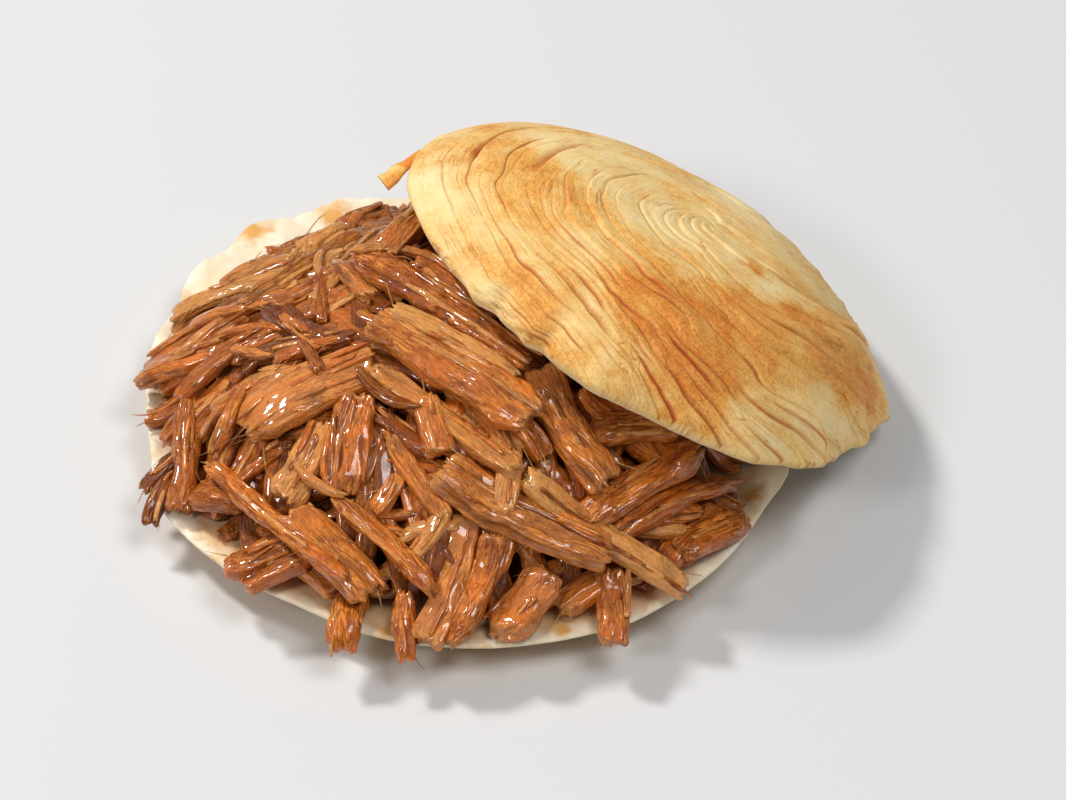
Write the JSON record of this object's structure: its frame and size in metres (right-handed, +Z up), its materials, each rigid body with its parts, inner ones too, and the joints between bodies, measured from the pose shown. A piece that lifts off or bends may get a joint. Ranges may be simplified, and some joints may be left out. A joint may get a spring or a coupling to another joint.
{
  "type": "roujiamo",
  "caption": "Flaky baked bun, opened and filled with pulled braised pork: the lower half lies cut face up, the domed upper half leans on the heap of meat.",
  "frame": {"origin": "centre of the flat underside of the lower half of the bun, which rests on the table", "axes": "+Z up; +X to the right, towards the side on which the upper half leans; +Y away from the viewer"},
  "size_m": [0.1385, 0.1264, 0.0532],
  "materials": {
    "bread_crumb": "dry, soft cream-white crumb and pale crust",
    "braised_pork": "moist, glossy orange-brown shreds",
    "baked_crust": "dry, finely speckled golden flaky crust"
  },
  "bodies": {
    "root": {"bottom_bread": "bread_crumb", "meat_heap": "braised_pork", "top_bread": "baked_crust"}
  },
  "joints": []
}
